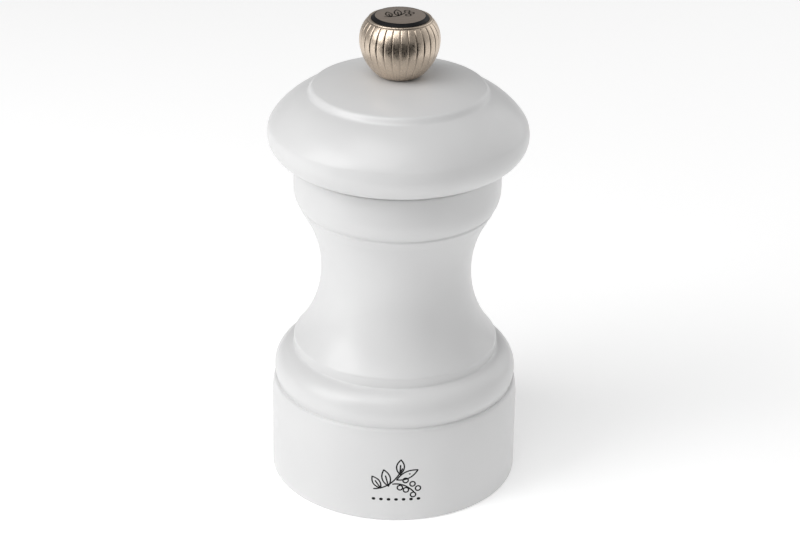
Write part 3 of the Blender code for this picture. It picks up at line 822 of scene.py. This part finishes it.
def make_stator():
    """The fixed burr ring: coarse teeth in its throat and fine ones where it flares at its foot."""
    levels = [(6.8, 10.5, 10.9), (12.5, 8.4, 9.0), (15.0, 8.8, 9.7), (22.4, 9.3, 10.3)]
    teeth, twist, fine_top = 24, math.radians(-14), 11.0

    def outline(angle):
        side = []
        for z in np.linspace(7.8, 21.4, 50):
            tip, root = levelled(levels, z)
            turned_back = (angle - twist * (z - 7.8) / 13.6) / (2 * math.pi)
            count = teeth if z > fine_top else teeth * 2
            side.append((tip + (root - tip) * saw(turned_back * count), z))
        return [(11.4, 21.4), (11.6, 21.2), (11.6, 8.0), (11.4, 7.8)] + side

    turned("burr_ring", outline, BURR, "body", ["grinder_stator"], 384, sharp=28)


def make_housing():
    """Moulded cup that holds the burr ring, with a flange at its foot and holes for the two screws."""
    corners = [(13.0, 24.4, 0.4), (13.0, 8.7, 0.2), (18.5, 8.7, 0.3), (18.5, 7.5, 0.35), (11.9, 7.5, 0.3)]
    corners += [(11.9, 23.0, 0.1), (10.2, 23.0, 0.1), (10.2, 24.4, 0.3)]
    outline, nodes = rounded(corners), ["mechanism_housing"]
    housing = turned("moulded_housing", outline, PLASTIC, "body", nodes, SMALL_ROUND)
    cut(housing, [cutter_prism(circle_outline(1.8, x, 0), 6, 10) for x in BRIDGE_SCREW_PLACES])


def washer_outline(inner, outer, low, high, fillet=0.15):
    corners = [(outer, high, fillet), (outer, low, fillet), (inner, low, fillet), (inner, high, fillet)]
    return rounded(corners, steps=3)


def square_holed(side, outer, low, high):
    """Outline, for turned, of a flat round plate with a square hole."""

    def outline(angle):
        return washer_outline(square_radius(angle, side), outer, low, high)

    return outline


def make_plates():
    """Seat plate with its feed windows, the two washers, the drive plate and the flanged bush."""
    plate = turned(
        "seat_plate", washer_outline(3.9, 11.6, 21.7, 22.7), BRIGHT, "body",
        ["spring_seat_plate"], SMALL_ROUND,
    )
    windows = []
    for middle in (30, 150, 270):
        outer = arc(0, 0, 9.6, middle - 50, middle + 50, 24)
        inner = arc(0, 0, 6.1, middle + 47, middle - 47, 20)
        windows.append(cutter_prism(outer + inner, 21, 24))
    cut(plate, windows)
    turned(
        "spring_washer", square_holed(5.6, 6.0, 20.6, 21.4), BRIGHT, "turner",
        ["thrust_washer"], SMALL_ROUND,
    )
    turned(
        "flat_washer", washer_outline(2.3, 5.0, 5.1, 5.9), BRIGHT, "spindle",
        ["rotor_washer"], SMALL_ROUND,
    )
    drive = turned(
        "square_drive_plate", square_holed(5.6, 11.2, 61.3, 62.5), BRIGHT, "head",
        ["drive_plate"], SMALL_ROUND,
    )
    cut(drive, [cutter_prism(circle_outline(1.4, x, y), 60, 64) for x, y in PLATE_SCREW_PLACES])
    bush = [(4.0, 2.8, 0.1), (4.0, 2.5, 0.05), (2.9, 2.5)]
    bush += [(2.9, 0.9, 0.15), (2.3, 0.9, 0.15), (2.3, 2.8, 0.1)]
    turned("flanged_bush", rounded(bush), BRASS, "body", ["pivot_bush"], SMALL_ROUND)


def make_clip():
    """Open spring clip: three inner lobes grip the groove, and its mouth faces the front."""
    outline = arc(0, 0, 3.6, -68, 248, 60)
    inner = [(248, 2.05), (236, 1.7), (200, 1.7), (190, 2.4), (130, 2.4), (120, 1.7), (60, 1.7), (50, 2.4)]
    inner += [(-10, 2.4), (-20, 1.7), (-56, 1.7), (-68, 2.05)]
    outline += [(r * math.cos(math.radians(a)), r * math.sin(math.radians(a))) for a, r in inner]
    clip = cutter_prism(outline, 4.1, 4.8)
    clip.name = "spring_clip"
    tidy_mesh(clip.data)
    clip.data.materials.append(BRIGHT)
    bevel(clip, 0.08)
    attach(clip, "spindle")
    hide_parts("retaining_clip")


def bevel(piece, width, segments=2):
    """Rounds a piece's edges by a width in millimetres."""
    modifier = piece.modifiers.new("Edges", "BEVEL")
    modifier.width = width * MM
    modifier.segments = segments
    modifier.limit_method = "ANGLE"
    modifier.angle_limit = math.radians(40)
    modifier.use_clamp_overlap = True


def make_bridge():
    """Bent steel strap with round ends, a hole for the bush and two for the screws."""
    half_width, half_length, thickness = 4.5, 18.0, 1.2
    ear, middle = 6.6, 1.6
    bends = [(-12.6, ear), (-9.0, middle), (9.0, middle), (12.6, ear)]
    corners = [(-half_length, ear), *((x, z, 1.1) for x, z in bends), (half_length, ear)]
    line = [Vector(point) for point in rounded(corners, closed=False, steps=6)]
    lengths = [0.0]
    for first, second in zip(line, line[1:]):
        lengths.append(lengths[-1] + (second - first).length)
    reach = lengths[-1] / 2

    end = half_width * 0.85
    outline = [(reach - end + end * c, half_width * s) for c, s in arc(0, 0, 1, -90, 90, 16)]
    outline += [(-reach + end + end * c, half_width * s) for c, s in arc(0, 0, 1, 90, 270, 16)]
    strap = cutter_prism(outline, -thickness / 2, thickness / 2)
    strap.name = "bent_strap"
    screw_reach = reach - (half_length - BRIDGE_SCREW_PLACES[1])
    holes = [cutter_prism(circle_outline(3.2, count=48), -2, 2)]
    holes += [cutter_prism(circle_outline(1.8, x), -2, 2) for x in (-screw_reach, screw_reach)]
    cut(strap, holes)

    shape = bmesh.new()
    shape.from_mesh(strap.data)
    for length in lengths[1:-1]:
        everything = list(shape.verts) + list(shape.edges) + list(shape.faces)
        place = ((length - reach) * MM, 0, 0)
        bmesh.ops.bisect_plane(shape, geom=everything, plane_co=place, plane_no=(1, 0, 0))
    for vertex in shape.verts:
        length = min(max(vertex.co.x / MM + reach, 0.0), lengths[-1])
        i = min(int(np.searchsorted(lengths, length, side="right")) - 1, len(line) - 2)
        share = (length - lengths[i]) / (lengths[i + 1] - lengths[i])
        place = line[i].lerp(line[i + 1], share)
        along = (line[i + 1] - line[i]).normalized()
        if 0 < i and share < 1e-4:
            along = (line[i + 1] - line[i - 1]).normalized()
        up = Vector((-along.y, along.x)) * vertex.co.z / MM
        vertex.co = Vector((place.x + up.x, vertex.co.y / MM, place.y + up.y)) * MM
    shape.to_mesh(strap.data)
    shape.free()
    tidy_mesh(strap.data)
    strap.data.materials.clear()
    strap.data.materials.append(BRIGHT)
    bevel(strap, 0.12)
    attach(strap, "body")
    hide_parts("retaining_bridge")


def thread_radius(z, angle, root, depth, pitch=None):
    """Radius of a right-hand thread's surface at a height and angle: a V with flat crest and root."""
    turns = z / (pitch or M4_PITCH) - angle / (2 * math.pi)
    wave = 1 - abs(2 * (turns % 1.0) - 1)
    return root + depth * min(1.0, max(0.0, wave * 1.3 - 0.15))


def make_screw(name, x, y, seat, head_radius, head_height, core, crest, top, body, node):
    """Pan-head cross-recessed screw driven upwards, its head below seat."""
    low = seat - head_height
    pitch = crest * 0.75

    def outline(angle):
        head = [(0, low), (head_radius * 0.55, low), (head_radius * 0.82, low + head_height * 0.12)]
        head += [(head_radius * 0.97, low + head_height * 0.4), (head_radius, low + head_height * 0.62)]
        head += [(head_radius, seat - 0.08), (head_radius - 0.08, seat)]
        head += [(core + 0.1, seat), (core, seat + 0.1)]
        shank = []
        for z in np.arange(seat + 0.4, top, pitch / 8):
            taper = min(1.0, (top - z) / 2.5 + 0.12)
            shank.append((thread_radius(z, angle, core, crest - core, pitch) * taper, z))
        return head + shank + [(0, top)]

    screw = turned(name, outline, BRIGHT, body, [node], 40, centre=(x, y), sharp=40)
    reach, width = head_radius * 1.15, head_radius * 0.26
    turn = math.radians(30 + 40 * x)
    cross = [
        cutter_prism(rectangle_outline(*size, x, y, turn), low - 1, low + head_height * 0.6)
        for size in ((reach, width), (width, reach))
    ]
    cut(screw, cross)


def make_screws():
    wood = {"seat": 5.7, "head_radius": 2.6, "head_height": 1.6, "core": 1.0, "crest": 1.4, "top": 19.7}
    for side, x in zip(("left", "right"), BRIDGE_SCREW_PLACES):
        node = f"bridge_screw_{side}"
        make_screw(f"wood_screw_{side}", x, 0, body="body", node=node, **wood)
    short = {"seat": 61.0, "head_radius": 1.9, "head_height": 1.0, "core": 0.75, "crest": 1.0, "top": 67.5}
    for i, (x, y) in enumerate(PLATE_SCREW_PLACES):
        node = f"drive_plate_screw_{i + 1}"
        make_screw(f"plate_screw_{i + 1}", x, y, body="head", node=node, **short)


def make_spindle():
    """One bar: pivot with its clip groove, square shaft with broken corners, M4 thread."""
    segments = 96
    angles = np.linspace(0, 2 * math.pi, segments, endpoint=False)
    side, corner = 5.0, 3.3

    def bar(angle, shrink=0.0):
        return min(square_radius(angle, side), corner) - shrink

    levels = [(1.8, lambda a: 1.6), (2.2, lambda a: 2.0), (3.9, lambda a: 2.0), (3.9, lambda a: 1.4)]
    levels += [(5.0, lambda a: 1.4), (5.0, lambda a: 2.0), (6.2, lambda a: 2.0)]
    levels += [(6.2, lambda a: bar(a, 0.25)), (6.45, bar), (82.4, bar), (83.0, lambda a: min(bar(a), 2.7))]
    levels += [(83.0, lambda a: 1.7)]
    for z in np.arange(83.1, 95.4, M4_PITCH / 8):
        levels.append((z, lambda a, z=z: thread_radius(z, a, 1.65, 0.35)))
    levels += [(95.5, lambda a: 1.6), (96.0, lambda a: 1.2)]
    rings = [[(radius(a) * math.cos(a), radius(a) * math.sin(a), z) for a in angles] for z, radius in levels]
    swept("square_spindle", rings, BRIGHT, "spindle", ["spindle"], sharp=40)


def make_spring():
    """Round wire with closed end coils."""
    wire, radius, turns, dead = 0.35, 4.6, 4.6, 0.8
    low, high = 15.75, 20.3
    steps, sides = int(turns * 40), 12
    rings = []
    for i in range(steps + 1):
        turn = turns * i / steps
        rise = min(1.0, max(0.0, (turn - dead) / (turns - 2 * dead)))
        angle = 2 * math.pi * turn
        height = low + wire + (high - low - 2 * wire) * rise
        ring = []
        for a in np.linspace(0, 2 * math.pi, sides, endpoint=False):
            flat = radius + wire * math.cos(a)
            ring.append((flat * math.cos(angle), flat * math.sin(angle), height + wire * math.sin(a)))
        rings.append(ring)
    spring = swept("coil_spring", rings, BRIGHT, None, ["grinder_spring"], sharp=60)
    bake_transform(spring)


make_body()
make_head()
make_knob()
make_knob_top()
make_marks()
make_rotor()
make_stator()
make_housing()
make_plates()
make_clip()
make_bridge()
make_screws()
make_spindle()
make_spring()
